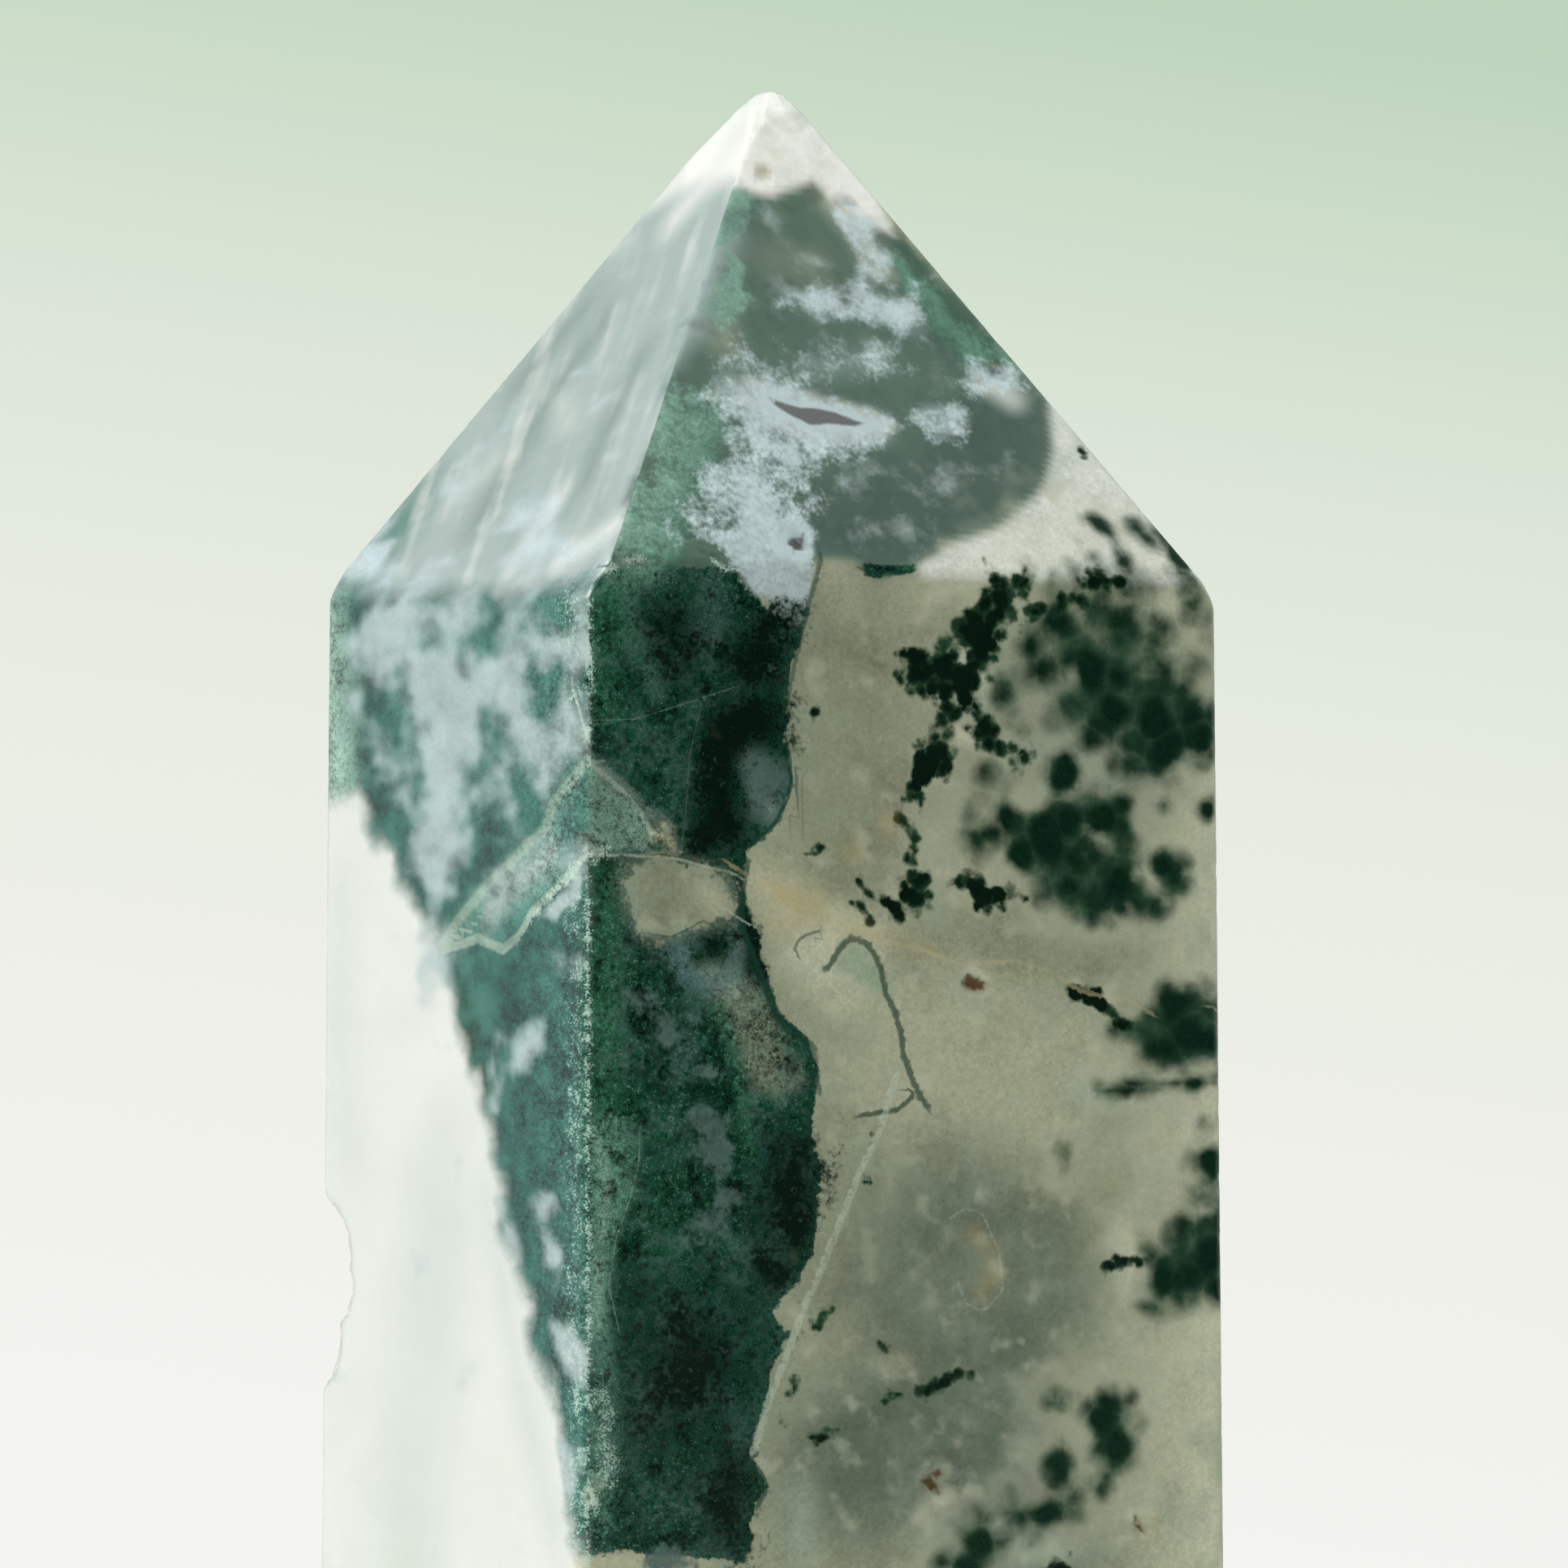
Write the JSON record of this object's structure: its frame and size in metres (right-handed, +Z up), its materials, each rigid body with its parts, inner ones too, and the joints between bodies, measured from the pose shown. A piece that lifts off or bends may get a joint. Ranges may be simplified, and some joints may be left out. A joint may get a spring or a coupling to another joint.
{
  "type": "tree agate tower",
  "caption": "Free-standing polished stone tower: a square, slightly tapering column with a blunt pyramid point, chipped arrises and a flat sawn base.",
  "frame": {"origin": "centre of the flat base the tower stands on", "axes": "+Z up along the column to the point, -Y out of the wall called front, -X out of the wall called left"},
  "size_m": [0.0266, 0.0266, 0.0881],
  "materials": {
    "tree_agate": "polished, milky white and grey chalcedony with dark green mossy inclusions"
  },
  "bodies": {
    "root": {"agate_tower": "tree_agate"}
  },
  "joints": []
}
